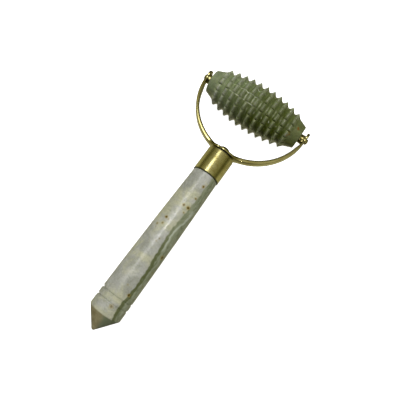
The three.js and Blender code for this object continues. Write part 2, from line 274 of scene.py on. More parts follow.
def handle_shape():
    half_angle = math.atan2(HANDLE["shoulder_radius"], HANDLE["shoulder_y"] - HANDLE["tip_y"])
    ball_y = HANDLE["tip_y"] + HANDLE["tip_round"] / math.sin(half_angle)
    tip = arc(0, ball_y, HANDLE["tip_round"], -90, -math.degrees(half_angle), 8)
    tip[0] = (0, tip[0][1])
    shoulder = (HANDLE["shoulder_radius"], HANDLE["shoulder_y"])
    edge, coarse, fine, groove_reach = 0.22, 0.45, 0.11, 1.2
    below = (shoulder[0] - edge * math.sin(half_angle), shoulder[1] - edge * math.cos(half_angle))
    profile = refine(tip + [below], coarse)
    profile += [(shoulder[0] - 0.05, shoulder[1] - 0.02), (shoulder[0] - 0.01, shoulder[1] + edge)]
    y = shoulder[1] + 2 * edge
    while y < HANDLE["top_y"] - 0.3:
        profile.append((handle_radius(y), y))
        near_groove = any(abs(y - g) < groove_reach for g in HANDLE["groove_ys"])
        y += fine if near_groove else coarse
    wall_end = len(profile)
    top, spigot, bore = handle_radius(HANDLE["top_y"]), HANDLE["spigot_radius"], HANDLE["bore_radius"]
    drill_point = 1.25
    profile += [(top, HANDLE["top_y"] - 0.1), (top - 0.1, HANDLE["top_y"])]
    profile += [(spigot, HANDLE["top_y"]), (spigot, HANDLE["spigot_top"])]
    profile += [(bore, HANDLE["spigot_top"]), (bore, HANDLE["bore_floor"])]
    profile += [(0, HANDLE["bore_floor"] - drill_point)]
    outside_top = profile[wall_end][1]

    def wobble(radius, y, angle):
        on_wall = radius > spigot + 0.3 or y < HANDLE["shoulder_y"]
        if not on_wall or y > outside_top:
            return radius
        spot = surface_point(radius, y, angle)
        polish = 0.035 * rough(spot, size=7.0, seed=2.0)
        polish += 0.012 * rough(spot, size=2.2, seed=6.0)
        fade = smoothstep(0.0, 3.0, radius)
        return radius + polish * fade - groove_at(y, angle)

    return lathe(profile, 144, wobble)


# ---- ferrule, adhesive, washer

def ferrule_shape():
    radius, length, edge = FERRULE["radius"], FERRULE["length"], FERRULE["edge"]
    inner = radius - FERRULE["wall"]
    lip, margin = 0.18, 1.0
    profile = [(FERRULE["hole"], -FERRULE["roof"]), (inner, -FERRULE["roof"])]
    profile += [(inner, -length + lip)]
    profile += arc(radius - lip, -length + lip, lip, -90, 0, 5)
    profile += [(radius, -length + margin), (radius, -edge - margin)]
    profile += arc(radius - edge, -edge, edge, 0, 90, 8)
    profile += [(FERRULE["hole"], 0)]

    def wobble(r, y, angle):
        if r < inner + 0.1:
            return r
        return r + 0.02 * rough(surface_point(r, y, angle), size=5.0, seed=3.0)

    return lathe(refine(profile, step=0.7), 128, wobble)


def adhesive_shape():
    """The squeezed-out line of cured glue: a lumpy ring."""
    middle = (ADHESIVE["bottom"] + ADHESIVE["top"]) / 2
    bulge = (ADHESIVE["top"] - ADHESIVE["bottom"]) / 2
    profile = [(ADHESIVE["inner"], ADHESIVE["bottom"])]
    profile += arc(ADHESIVE["radius"] - bulge, middle, bulge, -90, 90, 8)
    profile += [(ADHESIVE["inner"], ADHESIVE["top"])]
    outside = 6.4

    def wobble(r, _, angle):
        if r < outside:
            return r
        return r + 0.10 * rough(surface_point(r, 0.0, angle), size=1.6, seed=8.0) - 0.03

    return lathe(profile, 144, wobble)


def washer_shape(sizes, bottom, top, edge=0.1):
    """A flat washer with rounded edges."""
    hole, radius = sizes["hole"], sizes["radius"]
    profile = arc(hole + edge, bottom + edge, edge, 180, 270, 3)
    profile += arc(radius - edge, bottom + edge, edge, -90, 0, 3)
    profile += arc(radius - edge, top - edge, edge, 0, 90, 3)
    profile += arc(hole + edge, top - edge, edge, 90, 180, 3)
    return lathe(profile, 96)


# ---- screw

def dome(radius, foot, rim, height, steps=10):
    """The outside of a domed head, from its underside's edge to its top on the axis."""
    bevel = 0.12
    points = [(radius - bevel, foot), (radius, foot + bevel)]
    for i in range(steps):
        angle = math.pi / 2 * i / steps
        rise = rim + (height - rim) * math.sin(angle)
        points.append((radius * math.cos(angle), foot + rise))
    return points + [(0, foot + height)]


def screw_shape():
    shank, chamfer = SCREW["radius"], 0.3
    profile = [(0, -SCREW["length"]), (shank - chamfer, -SCREW["length"])]
    profile += [(shank, -SCREW["length"] + chamfer), (shank, SCREW["head_y"])]
    profile += dome(SCREW["head_radius"], SCREW["head_y"], SCREW["head_rim"],
                    SCREW["head_height"])
    return lathe(refine(profile, step=0.8), 64)


def recess_shape():
    """The cross recess in the screw's head: two crossed wedges with sloping ends."""
    above_head, depth = 0.3, 1.7
    top = SCREW["head_y"] + SCREW["head_height"] + above_head
    floor = top - depth
    blades = []
    for turn in (25, 115):
        cos, sin = math.cos(math.radians(turn)), math.sin(math.radians(turn))
        corners = []
        for y, half_long, half_wide in ((floor, 0.35, 0.14), (top, 1.45, 0.26)):
            for along, across in ((-1, -1), (1, -1), (1, 1), (-1, 1)):
                x, z = along * half_long, across * half_wide
                corners.append((x * cos - z * sin, y, x * sin + z * cos))
        faces = [(0, 1, 2, 3), (7, 6, 5, 4), (0, 4, 5, 1), (1, 5, 6, 2), (2, 6, 7, 3),
                 (3, 7, 4, 0)]
        blades.append((corners, faces))
    return blades


# ---- bow

def bow_half_width(from_seat, from_eye):
    """Half the strip's width at a distance from the bow's middle, and from the eye's middle."""
    half = BOW["width"] / 2
    if from_seat < BOW["shoulder_end"]:
        disc = math.sqrt(max(BOW["seat_radius"] ** 2 - from_seat ** 2, 0))
        narrowing = smoothstep(BOW["shoulder_start"], BOW["shoulder_end"], from_seat)
        shoulder = mix(BOW["shoulder_half"], half, narrowing)
        return max(disc, shoulder)
    eye = math.sqrt(max(BOW["eye_radius"] ** 2 - from_eye ** 2, 0))
    return eye if from_eye > 0 else max(eye, half)


def bow_section(angle, eye_height, side):
    """The middle of the outer face, the outward direction, thickness and half-width."""
    radius = BOW["radius"]
    outward = (side * math.sin(angle), -math.cos(angle))
    x, y = radius * outward[0], AXLE_Y + radius * outward[1] + eye_height
    if y < BOW["seat_y"]:
        y, outward = BOW["seat_y"], (0.0, -1.0)
    run = radius * angle
    pressed = smoothstep(BOW["seat_radius"] - 1, BOW["shoulder_end"], run)
    from_eye = run + eye_height - (radius * math.pi / 2 + BOW["eye_rise"])
    arm = mix(BOW["seat_thickness"], BOW["thickness"], pressed)
    flattened = smoothstep(-BOW["flat_start"], -BOW["flat_end"], from_eye)
    thickness = mix(arm, BOW["eye_thickness"], flattened)
    return (x, y), outward, thickness, bow_half_width(run, from_eye)


def section_outline(middle, outward, thickness, half):
    """A rectangle whose narrow edges are crowned, as points in the tool's frame."""
    edge = min(BOW["edge"], half / 2)
    crown = min(BOW["crown"], 0.45 * thickness)
    points = []
    for corner_depth, corner_z, start in (
        (crown, half - edge, 90), (crown, edge - half, 180),
        (thickness - crown, edge - half, 270), (thickness - crown, half - edge, 0),
    ):
        # The angle runs from the outer face towards -Z, round the section.
        for side, lift in arc(0, 0, 1, start, start + 90, 8):
            depth, z = corner_depth + crown * side, corner_z + edge * lift
            points.append((middle[0] - outward[0] * depth, middle[1] - outward[1] * depth, z))
    return points


def bow_stations():
    """(angle round the bend, height up the eye) from the middle to one end."""
    seat_steps, bend_steps, eye_steps = 30, 64, 22
    quarter = math.pi / 2
    bend_start = BOW["shoulder_end"] / BOW["radius"]
    eye_top = BOW["eye_rise"] + BOW["eye_radius"]
    stations = [(BOW["shoulder_end"] * i / seat_steps / BOW["radius"], 0.0)
                for i in range(seat_steps)]
    stations += [(mix(bend_start, quarter, i / bend_steps), 0.0) for i in range(bend_steps + 1)]
    stations += [(quarter, eye_top * math.sin(quarter * i / (eye_steps + 0.3)))
                 for i in range(1, eye_steps + 1)]
    return stations


def bow_shape():
    half_bow = bow_stations()
    sections = [bow_section(a, h, -1) for a, h in reversed(half_bow[1:])]
    sections += [bow_section(a, h, 1) for a, h in half_bow]
    outlines = [section_outline(*section) for section in sections]
    size = len(outlines[0])
    vertices = [point for outline in outlines for point in outline]
    faces = [tuple(reversed(face)) for face in grid_faces(len(outlines), size)]
    faces.append(tuple(range(size)))
    faces.append(tuple(reversed(range((len(outlines) - 1) * size, len(outlines) * size))))
    return vertices, faces


# ---- roller

LAST_RING_X = (ROLLER["rings"] - 1) / 2 * ROLLER["pitch"]
LAST_VALLEY_X = LAST_RING_X - ROLLER["pitch"] / 2


def crest_at(x):
    return ROLLER["crest_radius"] - ROLLER["crest_fall"] * (x / LAST_RING_X) ** 2


def valley_at(x):
    return ROLLER["valley_radius"] - ROLLER["valley_fall"] * (x / LAST_VALLEY_X) ** 2


def ring_profile(x):
    """The barrel's radius before the long cuts: sharp rings with hollow flanks."""
    distance = abs(x)
    if distance > LAST_RING_X:
        # From the last ring's crest down its outer flank to the smooth end cone.
        t = min((distance - LAST_RING_X) / (ROLLER["root_x"] - LAST_RING_X), 1.0)
        cone = mix(ROLLER["root_radius"], ROLLER["end_radius"],
                   (distance - ROLLER["root_x"]) / (ROLLER["half_length"] - ROLLER["root_x"]))
        flank = mix(crest_at(LAST_RING_X), ROLLER["root_radius"],
                    t ** ROLLER["end_flank_hollow"])
        return flank if t < 1 else cone
    ring = round(x / ROLLER["pitch"])
    across = 1 - abs(x / ROLLER["pitch"] - ring) * 2
    from_floor = across * ROLLER["pitch"] / 2
    # A narrow, slightly dished floor, then hollow flanks up to the crest.
    flank = max(across - ROLLER["floor_share"], 0) / (1 - ROLLER["floor_share"])
    dish = ROLLER["floor_bend"] / 2 * min(from_floor, ROLLER["floor_reach"]) ** 2
    share, soft = flank ** ROLLER["flank_hollow"], ROLLER["crest_soft"]
    worn = 1 + soft * share - math.hypot(1 - share, soft)
    return mix(valley_at(x), crest_at(x), worn) + dish * (1 - flank)


# Stations between a valley's floor (0) and a crest (1).
FLANK_SHARES = (0, 0.06, 0.12, 0.19, 0.28, 0.40, 0.54, 0.70, 0.84, 0.92, 0.97)
# Stations between a cut (0) and the middle of a tooth (1).
TOOTH_SHARES = (0, 0.025, 0.06, 0.10, 0.15, 0.22, 0.32, 0.47, 0.68)


def roller_xs():
    """Stations along the barrel, closer together at the crests and floors."""
    xs = []
    half = ROLLER["pitch"] / 2
    for ring in range(ROLLER["rings"] - 1):
        crest = -LAST_RING_X + ring * ROLLER["pitch"]
        xs += [crest + half * (1 - share) for share in reversed((*FLANK_SHARES, 1))]
        xs += [crest + half * (1 + share) for share in FLANK_SHARES[1:]]
    xs.append(LAST_RING_X)
    return xs


def roller_angles():
    """Angles round the barrel, closer together at the cuts."""
    half = math.pi / ROLLER["rows"]
    angles = []
    for row in range(ROLLER["rows"]):
        angles += [half * (2 * row + share) for share in TOOTH_SHARES]
        angles += [half * (2 * row + 2 - share) for share in reversed((*TOOTH_SHARES[1:], 1))]
    return angles


def tooth_noise(ring, row, seed):
    return rough((ring * 1.7, row * 2.3, 0.5), size=1.0, seed=seed)


def tooth_radius(x, angle):
    """The barrel's radius at a point: rounded gaps between the teeth of a ring, each with a fine
    saw line along its middle. No two teeth are quite alike."""
    row_angle = 2 * math.pi / ROLLER["rows"]
    row = round(angle / row_angle)
    base = ring_profile(x)
    valley = valley_at(x)
    from_cut = abs(angle - row * row_angle) * ROLLER["crest_radius"]
    cut = row % ROLLER["rows"]
    depth = ROLLER["kerf_depth"] * (1 + 0.8 * rough((x, cut * 5.0, 0), size=7.0, seed=3.0))
    ring = round(x / ROLLER["pitch"])
    tooth = math.floor(angle / row_angle) % ROLLER["rows"]
    shoulder = ROLLER["shoulder"] * (1 + 0.35 * tooth_noise(ring, tooth, seed=21.0))
    share = min(from_cut / shoulder, 1)
    gap = ROLLER["gap_share"] * (crest_at(x) - valley)
    rounded = crest_at(x) - gap * (1 - share) ** 2.0
    # The lower of the two surfaces, with the crease between them softened.
    soft = ROLLER["gap_soft"]
    blend = max(soft - abs(base - rounded), 0) / soft
    radius = min(base, rounded) - soft * blend * blend / 4
    radius -= depth * (1 - smoothstep(0.3, 1.0, from_cut / ROLLER["kerf_half"]))
    # Teeth differ a little in height.
    tooth_height = 1.9
    above = max(radius - valley, 0) / tooth_height
    return radius + above * (0.10 * tooth_noise(ring, tooth, seed=11.0) - 0.04)


def end_radius_at(x, angle):
    """The outer flank of the last ring is cut into teeth too, and the cone beyond it isn't."""
    base = ring_profile(x)
    edge = math.copysign(LAST_RING_X, x)
    tooth = tooth_radius(edge, angle) - crest_at(edge)
    t = min((abs(x) - LAST_RING_X) / (ROLLER["root_x"] - LAST_RING_X), 1.0)
    return base + tooth * max(1 - t * 1.15, 0) ** 1.2


def roller_stations():
    """(x, radius) from the left end to the right. The radius is None where the teeth or the
    cone give it."""
    half, root, bore = ROLLER["half_length"], ROLLER["root_x"], ROLLER["bore_radius"]
    end_round, bore_edge = ROLLER["end_round"], 0.25
    right_end = [(mix(LAST_RING_X, root, i / 8), None) for i in range(1, 9)]
    right_end += [(mix(root, half - end_round, i / 10), None) for i in range(1, 11)]
    edge_radius = ring_profile(half - end_round)
    right_end += arc(half - end_round, edge_radius - end_round, end_round, 75, 0, 5)
    right_end += [(half, radius) for radius in (4.4, 3.4, bore + bore_edge)]
    right_end.append((half - bore_edge, bore))
    left_end = [(-x, r) for x, r in reversed(right_end)]
    return left_end + [(x, None) for x in roller_xs()] + right_end


def roller_shape():
    angles, stations = roller_angles(), roller_stations()
    turn = math.radians(ROLLER["turn"])
    vertices = []
    for x, fixed in stations:
        for angle in angles:
            if fixed is not None:
                r = fixed
            elif abs(x) <= LAST_RING_X + 1e-6:
                r = tooth_radius(x, angle)
            else:
                r = end_radius_at(x, angle)
            spot = (x, r * math.cos(angle), r * math.sin(angle))
            if r > ROLLER["bore_radius"] + 0.3:
                r += (0.03 * rough(spot, size=4.0, seed=5.0)
                      + 0.02 * rough(spot, size=0.9, seed=15.0))
            swung = angle + turn + math.radians(ROLLER["skew"] * x)
            vertices.append((x, AXLE_Y + r * math.cos(swung), r * math.sin(swung)))
    return vertices, grid_faces(len(stations), len(angles), close_rows=True)


# ---- small turned pieces

def bush_shape():
    """The sleeve in the roller's bore, and its flange against the roller's end."""
    inner_end = ROLLER["half_length"] - BUSH["length"]
    hole, radius, rim = BUSH["hole"], BUSH["radius"], BUSH["flange_radius"]
    foot, back, front, mouth = BUSH["flange_x"], 0.08, 0.12, 0.1  # the last three are bevels
    face = foot + BUSH["flange"]
    profile = [(hole, inner_end), (radius, inner_end), (radius, foot), (rim - back, foot)]
    profile += [(rim, foot + back), (rim, face - front), (rim - front, face)]
    profile += [(hole + mouth, face), (hole, face - mouth)]
    return along_axle(lathe(profile, 64))


def axle_shape():
    """The rod with a head hammered down outside each eye."""
    half = dome(AXLE["head_radius"], AXLE["head_x"], AXLE["head_rim"], AXLE["head_height"])
    upper = [(AXLE["radius"], AXLE["head_x"])] + half
    lower = [(r, -y) for r, y in reversed(upper)]

    def wobble(r, y, angle):
        if abs(y) < AXLE["head_x"] + 0.05:
            return r
        return r * (1 + 0.05 * rough(surface_point(r, y, angle), size=1.1, seed=7.0))

    return along_axle(lathe(lower + upper, 48, wobble))


# ---- materials

class Nodes:
    """A short way to write a node material."""

    def __init__(self, name):
        self.material = bpy.data.materials.new(name)
        self.material.use_nodes = True
        self.tree = self.material.node_tree
        self.shader = self.tree.nodes["Principled BSDF"]

    def add(self, kind, settings=(), **inputs):
        node = self.tree.nodes.new("ShaderNode" + kind)
        for key, value in dict(settings).items():
            setattr(node, key, value)
        for key, value in inputs.items():
            self.put(node, key, value)
        return node

    def put(self, node, key, value):
        """Sets a node's input, or links it. key is the socket's name with _ for a space, or iN."""
        if key[0] == "i" and key[1:].isdigit():
            socket = node.inputs[int(key[1:])]
        else:
            socket = node.inputs[key.replace("_", " ")]
        if isinstance(value, bpy.types.NodeSocket):
            self.tree.links.new(value, socket)
        elif isinstance(value, bpy.types.Node):
            self.tree.links.new(value.outputs[0], socket)
        else:
            socket.default_value = value

    def tool_place(self):
        """The point's place in the tool's frame, in millimetres."""
        place = self.add("TexCoord").outputs["Object"]
        inverse = TOOL.inverted()
        turned = self.add("Mapping", Vector=place)
        turned.vector_type = "POINT"
        turned.inputs["Location"].default_value = inverse.to_translation()
        turned.inputs["Rotation"].default_value = inverse.to_euler()
        turned.inputs["Scale"].default_value = inverse.to_scale()
        return turned.outputs[0]

    def math(self, operation, a, b=0.0):
        return self.add("Math", {"operation": operation}, i0=a, i1=b).outputs[0]

    def plus(self, a, b):
        return self.math("ADD", a, b)

    def minus(self, a, b):
        return self.math("SUBTRACT", a, b)

    def times(self, a, b):
        return self.math("MULTIPLY", a, b)

    def absolute(self, a):
        return self.math("ABSOLUTE", a)

    def hypot(self, a, b):
        squares = self.plus(self.math("POWER", a, 2.0), self.math("POWER", b, 2.0))
        return self.math("SQRT", squares)

    def noise(self, place, size, detail=4.0, roughness=0.55, warp=0.0, stretch=(1, 1, 1)):
        """Noise from 0 to 1 with features of about size millimetres."""
        scaled = self.add("Mapping", Vector=place)
        scaled.inputs["Scale"].default_value = [1 / s for s in stretch]
        made = self.add("TexNoise", Vector=scaled, Scale=1 / size, Detail=detail,
                        Roughness=roughness, Distortion=warp)
        return made.outputs["Fac"]

    def between(self, value, low, high, start=0.0, end=1.0, smooth=True):
        """value from low to high becomes start to end, and stays there outside them."""
        kind = "SMOOTHSTEP" if smooth else "LINEAR"
        node = self.add("MapRange", {"interpolation_type": kind}, i0=value, i1=low, i2=high,
                        i3=start, i4=end)
        return node.outputs[0]

    def blend(self, factor, a, b, mode="MIX"):
        node = self.add("Mix", {"data_type": "RGBA", "blend_type": mode})
        self.put(node, "i0", factor)
        self.put(node, "i6", a)
        self.put(node, "i7", b)
        return node.outputs[2]

    def along(self, value, points):
        """A smooth curve through the points (value, result)."""
        low, high = points[0][0], points[-1][0]
        results = [result for _, result in points]
        least, most = min(results), max(results)
        node = self.add("FloatCurve", Value=self.between(value, low, high, smooth=False))
        curve = node.mapping.curves[0]
        places = [((at - low) / (high - low), (result - least) / (most - least))
                  for at, result in points]
        curve.points[0].location = places[0]
        curve.points[1].location = places[-1]
        for place in places[1:-1]:
            curve.points.new(*place)
        node.mapping.update()
        return self.between(node, 0.0, 1.0, least, most, smooth=False)

    def window(self, value, start, full, fade, end):
        """0 outside start to end, rising to 1 from full to fade."""
        rise = self.between(value, start, full)
        return self.times(rise, self.between(value, end, fade))

    def specks(self, colour, place, ragged, spots, halo, heart):
        """Specks with ragged edges, each a dark heart in a paler halo. spots are (place,
        half-width, darkness)."""
        for spot, half, dark in spots:
            gap = self.add("VectorMath", {"operation": "DISTANCE"}, i0=place, i1=spot)
            gap = self.plus(gap.outputs["Value"], self.times(self.minus(ragged, 0.5), 1.4))
            stain = self.between(gap, half * 1.8, half * 0.5, 0, 0.85 * dark)
            colour = self.blend(stain, colour, halo)
            core = self.between(gap, half * 0.85, half * 0.35, 0, dark)
            colour = self.blend(core, colour, heart)
        return colour

    def kerf_highlight(self, x, from_axle, z):
        """Where a pale highlight is painted along the cuts in the barrel, for their lit walls, 0 to
        1.
        """
        row_angle = 2 * math.pi / ROLLER["rows"]
        turn, skew = math.radians(ROLLER["turn"]), math.radians(ROLLER["skew"])
        angle = self.minus(self.math("ARCTAN2", z, from_axle), turn)
        angle = self.minus(angle, self.times(x, skew))
        rows = self.math("DIVIDE", angle, row_angle)
        off = self.minus(rows, self.math("ROUND", rows))
        from_cut = self.times(self.absolute(off), row_angle * ROLLER["valley_radius"])
        # Each cut has its own noise along it, 9 mm of noise away from the next one's.
        place = self.add("CombineXYZ", i0=x, i1=self.times(self.math("ROUND", rows), 9))
        left = self.between(self.noise(place, 6.0, detail=2), 0.38, 0.5)
        left = self.times(left, self.window(x, *CUT_HIGHLIGHT["along"]))
        on_line = self.between(from_cut, *CUT_HIGHLIGHT["line"])
        return self.times(on_line, self.times(left, self.between(z, *CUT_HIGHLIGHT["height"])))

    def shade(self, colour, value, low, high, start, end):
        """The colour made lighter or darker as value goes from low to high."""
        return self.blend(1.0, colour, self.between(value, low, high, start, end), "MULTIPLY")

    def split(self, place):
        return self.add("SeparateXYZ", i0=place).outputs

    def bump(self, height, distance, strength):
        """height is in units of distance, which is in millimetres."""
        node = self.add("Bump", Strength=strength, Distance=distance * MM, Height=height)
        return node.outputs[0]

    def finish(self, **inputs):
        for key, value in inputs.items():
            self.put(self.shader, key, value)
        return self.material


def rgb(red, green, blue):
    """A colour given as it looks on a screen, from 0 to 255."""
    def linear(c):
        c /= 255
        return c / 12.92 if c <= 0.04045 else ((c + 0.055) / 1.055) ** 2.4
    return (linear(red), linear(green), linear(blue), 1.0)


# A painted highlight along the barrel's cuts, standing for their lit walls: where it starts, is
# full, fades and ends in x; its half-width from nothing to full; and from what height.
CUT_HIGHLIGHT = {"along": (-17, -11, -4, 3), "line": (0.26, 0.1), "height": (6.8, 8.6)}

# Specks of iron in the handle's stone: (degrees round from the top, y, half-width, darkness).
SPECKS = (
    (26, -19.3, 0.75, 1.0), (29, -26.0, 0.5, 0.7), (6, -31.5, 0.6, 0.85),
    (26, -31.4, 0.75, 1.0), (23, -34.4, 0.5, 0.65), (-19, -40.3, 0.6, 0.9),
    (-7, -40.6, 0.4, 0.6), (-17, -43.5, 0.5, 0.55), (-34, -44.8, 0.6, 0.6),
    (-30, -46.4, 0.35, 0.4), (8, -49.7, 0.35, 0.4), (3, -51.4, 0.35, 0.35),
    (62, -55.6, 0.9, 0.8), (38, -76.2, 0.6, 1.0), (13, -83.7, 0.9, 0.5),
    (14, -72.9, 0.5, 0.3), (65, -70.4, 0.5, 0.5), (66, -63.4, 0.5, 0.4),
    (140, -30.4, 0.7, 0.9), (175, -47.4, 0.6, 0.7), (-120, -61.4, 0.7, 0.8),
    (-150, -24.4, 0.5, 0.8), (110, -70.4, 0.6, 0.7), (-95, -35.4, 0.5, 0.6),
)

# Where the green side's sheet lies: (y, x) along the handle.
GREEN_SHEET = (
    (-97.0, 5.6), (-88.0, 4.9), (-82.0, 4.2), (-74.0, 4.7), (-66.0, 4.6), (-57.0, 3.9),
    (-50.5, 3.4), (-44.0, 2.8), (-38.0, 3.3), (-32.0, 3.6), (-22.0, 3.9), (-13.0, 4.1),
)

# How far inside the sheet a paler band runs: (y, distance).
PALE_BAND = ((-56.0, 1.8), (-47.0, 1.45), (-38.0, 2.1), (-28.0, 2.3))

# The creamier and greyer stretches of the handle: (y, how much creamier).
CREAM = (
    (-97.0, 0.0), (-86.0, 0.07), (-80.0, 0.05), (-74.0, -0.08), (-66.0, -0.10), (-59.0, 0.07),
    (-52.0, -0.06), (-44.0, 0.04), (-32.0, 0.09), (-24.0, -0.02), (-17.0, -0.12), (-13.0, -0.12),
)

# How the barrel darkens from one end to the other, partly the stone's own tone and partly
# painted shade towards the end away from the key light: (x, share).
DARKER_TONE_AND_SHADE = ((-20.0, 0.1), (-10.0, 0.5), (-2.0, 0.74), (6.0, 0.88), (20.0, 0.88))

# Specks in the barrel's stone: (x, degrees round, half-width, darkness).
BLACK_SPECKS = (
    (2.2, 154, 0.45, 1.0), (8.8, 164, 0.5, 1.0), (9.7, 146, 0.35, 0.7), (12.9, 163, 0.4, 1.0),
    (-8.0, 250, 0.5, 1.0), (5.0, 300, 0.4, 0.8),
)
RUST_SPECKS = (
    (23.3, 93, 0.65, 0.9), (23.0, 88, 0.4, 0.8), (20.6, 122, 0.55, 0.7), (21.2, 128, 0.4, 0.7),
    (20.4, 133, 0.35, 0.6), (22.0, 260, 0.6, 0.8),
)


def handle_spots():
    spots = []
    for angle, y, half, dark in SPECKS:
        radius, turn = handle_radius(y), math.radians(angle)
        spots.append((surface_point(radius, y, turn), half, dark))
    return spots


def roller_spots(specks):
    spots = []
    for x, angle, half, dark in specks:
        radius, turn = ring_profile(x), math.radians(angle)
        spot = (x, AXLE_Y + radius * math.cos(turn), radius * math.sin(turn))
        spots.append((spot, half, dark))
    return spots


def handle_jade():
    n = Nodes("handle_jade")
    place = n.tool_place()
    x, y = n.split(place)[:2]

    # Clouds: cool grey stone with warm cream patches, and a fine grain through all of it.
    cloud = n.noise(place, 8.0, detail=6, roughness=0.6, warp=0.8, stretch=(1, 1.3, 1))
    cream = n.noise(place, 6.0, detail=7, roughness=0.62, warp=0.6, stretch=(1.1, 1.1, 1))
    smear = n.noise(place, 2.0, detail=6, roughness=0.66, warp=1.0, stretch=(1.3, 0.8, 1.3))
    grain = n.noise(place, 0.5, detail=4, roughness=0.75)
    stone = n.blend(n.between(cloud, 0.34, 0.66), rgb(152, 153, 142), rgb(186, 186, 177))
    cream = n.plus(cream, n.along(y, CREAM))
    stone = n.blend(n.between(cream, 0.41, 0.66, 0, 0.9), stone, rgb(188, 187, 156))
    stone = n.blend(n.between(smear, 0.46, 0.70, 0, 0.6), stone, rgb(144, 148, 128))
    stone = n.shade(stone, grain, 0.3, 0.7, 1.08, 0.84)

    # The green side: everything to one side of a wavy, nearly upright sheet through the stone.
    wave_small = n.noise(place, 2.6, detail=6, roughness=0.62)
    fray = n.times(n.minus(wave_small, 0.5), 1.9)
    side = n.plus(n.minus(x, n.along(y, GREEN_SHEET)), fray)
    green_grain = n.noise(place, 2.4, detail=6, roughness=0.65, warp=1.0, stretch=(1, 2.6, 1))
    green = n.blend(n.between(green_grain, 0.3, 0.7), rgb(116, 123, 92), rgb(166, 171, 144))
    stone = n.blend(n.between(side, -0.25, 0.35), stone, green)
    # A pale band beside the sheet, and the dark vein that runs down just inside it.
    band_gap = n.absolute(n.minus(side, n.along(y, PALE_BAND)))
    band = n.times(n.between(band_gap, 0.5, 0.15), n.window(y, -56, -50, -34, -28))
    stone = n.blend(n.times(band, 0.8), stone, rgb(190, 196, 176))
    vein_gap = n.absolute(n.minus(side, 0.6))
    vein = n.between(vein_gap, 0.8, 0.4)
    vein = n.times(vein, n.between(y, -36.0, -52.0, 0.3, 1.0))
    stone = n.blend(n.times(vein, 0.85), stone, rgb(92, 98, 58))

    stone = n.specks(stone, place, wave_small, handle_spots(), rgb(150, 126, 36), rgb(58, 46, 2))

    # The butt's cone is ground rougher, and painted darker than the handle and browner on one side:
    # partly a brown tint in the stone, partly painted shade of the cone, which faces towards the tip.
    on_cone = n.between(n.plus(y, n.times(fray, 0.2)), -88.1, -88.4)
    near_side = n.between(n.plus(x, fray), 2.6, 0.4)
    cone_tint_noise = n.noise(place, 2.2, detail=5, roughness=0.65)
    near_tint_and_shade = n.blend(n.between(cone_tint_noise, 0.35, 0.65), rgb(128, 116, 74), rgb(152, 142, 104))
    cone_tint_and_shade = n.blend(near_side, rgb(112, 120, 88), near_tint_and_shade)
    stone = n.blend(n.times(on_cone, 0.9), stone, cone_tint_and_shade)

    # The polish: long soft ripples and small pits, duller in the pits and on the ground cone.
    pits = n.between(n.noise(place, 0.38, detail=2), 0.64, 0.72)
    ripple = n.noise(place, 3.0, detail=3)
    height = n.minus(n.times(ripple, 0.35), n.times(pits, 0.25))
    gloss = n.between(n.noise(place, 5.0, detail=4), 0.3, 0.7, 0.19, 0.30)
    gloss = n.plus(gloss, n.times(pits, 0.25))
    gloss = n.plus(gloss, n.times(on_cone, 0.3))
    normal = n.bump(height, 0.04, 0.5)
    n.shader.subsurface_method = "RANDOM_WALK"
    return n.finish(Base_Color=stone, Roughness=gloss, Normal=normal, IOR=1.46,
                    Subsurface_Weight=0.15, Subsurface_Radius=(1.0, 0.95, 0.8),
                    Subsurface_Scale=0.0012)


